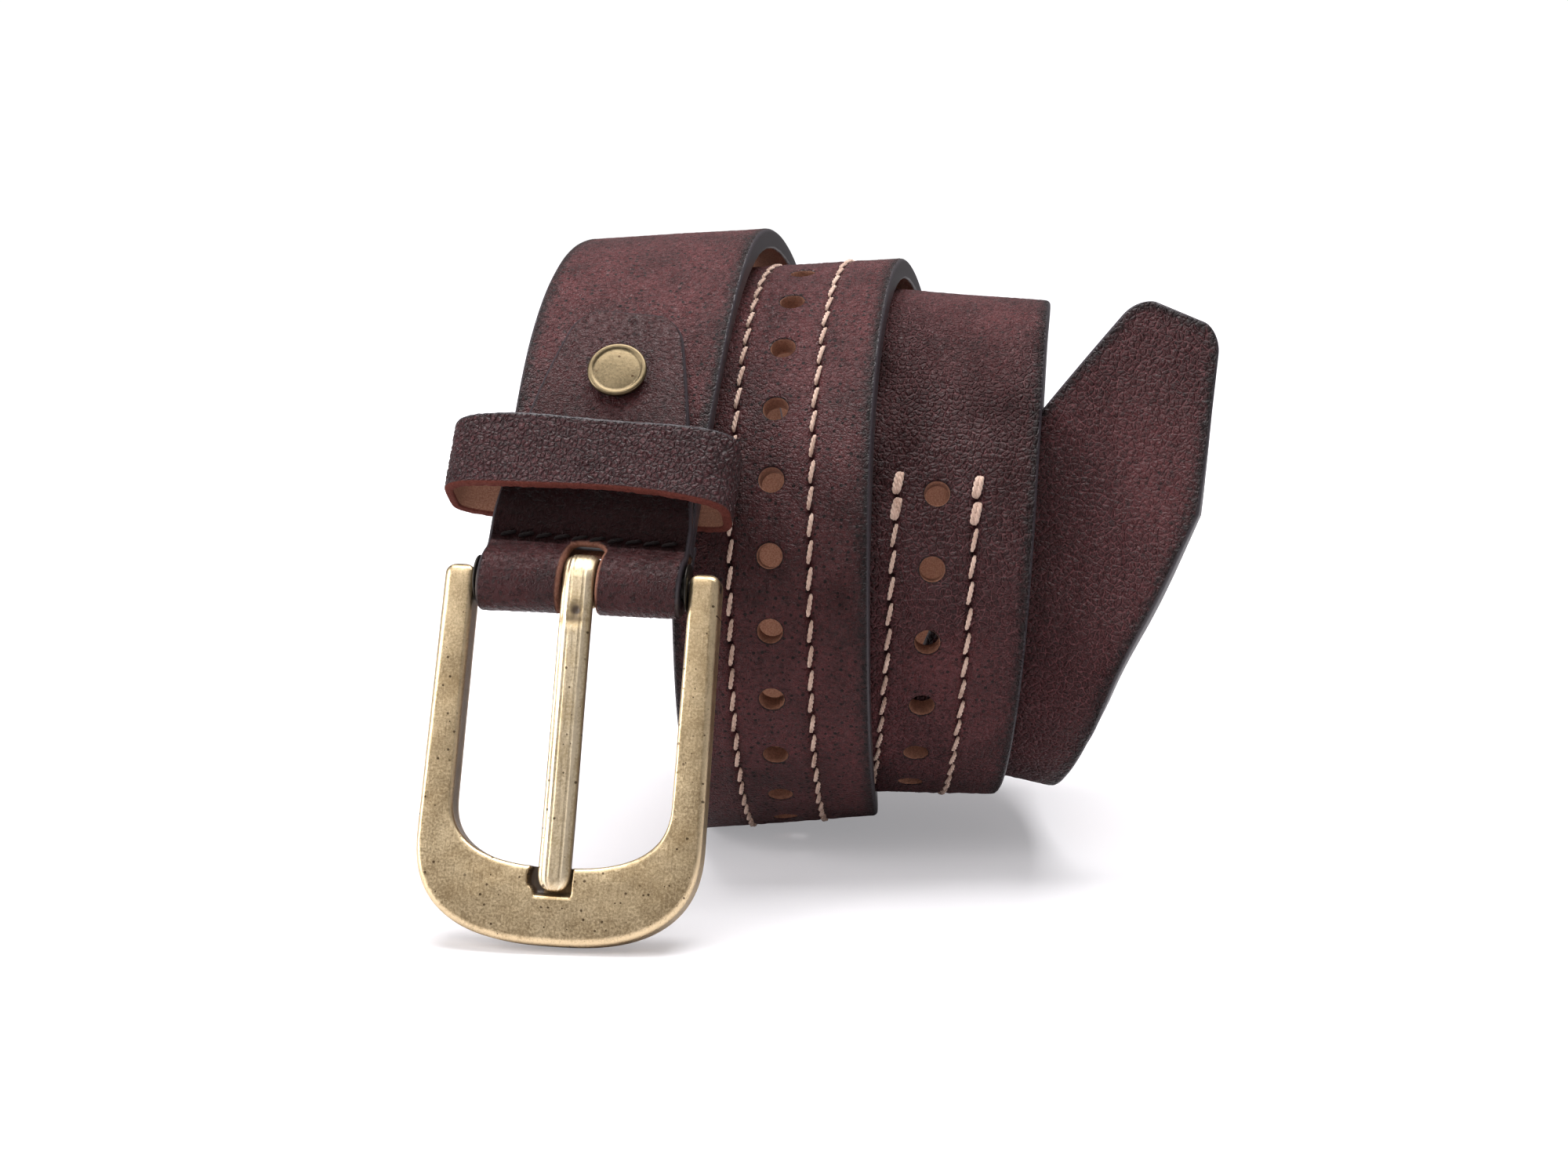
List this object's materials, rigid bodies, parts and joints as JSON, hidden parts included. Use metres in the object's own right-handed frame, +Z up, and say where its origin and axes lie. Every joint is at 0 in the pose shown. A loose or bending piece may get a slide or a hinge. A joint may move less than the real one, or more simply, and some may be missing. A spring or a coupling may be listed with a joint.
{
  "type": "leather belt",
  "caption": "Coiled leather belt standing on edge, with brass prong buckle, folded chape, keeper loop, rivet, punched holes and two rows of contrast stitching.",
  "frame": {"origin": "bottom centre of the bounding box, on the floor the coil stands on", "axes": "+Z up, +X along the coil from the buckle end to the tip, +Y from the buckle side to the back"},
  "size_m": [0.153, 0.1698, 0.1356],
  "materials": {
    "oxblood_leather": "satin",
    "antique_brass": "satin",
    "black_steel": "satin",
    "beige_thread": "matte",
    "dark_thread": "matte"
  },
  "bodies": {
    "strap_body": {"strap": "oxblood_leather", "chape": "oxblood_leather", "rivet_cap": "antique_brass", "rivet_back": "antique_brass", "needle_thread_left": "beige_thread", "needle_thread_right": "beige_thread", "bobbin_thread_left": "beige_thread", "bobbin_thread_right": "beige_thread", "chape_seam_front": "dark_thread", "chape_seam_back": "dark_thread"},
    "buckle": {"buckle_frame": "antique_brass", "buckle_bar": "black_steel"},
    "prong": {"prong": "antique_brass"},
    "keeper": {"keeper_loop": "oxblood_leather", "keeper_staple": "black_steel"}
  },
  "joints": [
    {"name": "buckle_pivot", "type": "hinge", "parent": "strap_body", "child": "buckle", "pos_m": [-0.04711, -0.05751, 0.06727], "axis": [-0.9995, 0.0106, 0.0288], "range_deg": [-3, 80]},
    {"name": "prong_pivot", "type": "hinge", "parent": "buckle", "child": "prong", "pos_m": [-0.04711, -0.05751, 0.06727], "axis": [-0.9995, 0.0106, 0.0288], "range_deg": [0, 38]},
    {"name": "keeper_slide", "type": "slide", "parent": "strap_body", "child": "keeper", "axis": [0.0968, 0.3868, 0.9171], "range_m": [-0.0024, 0.0045]}
  ]
}
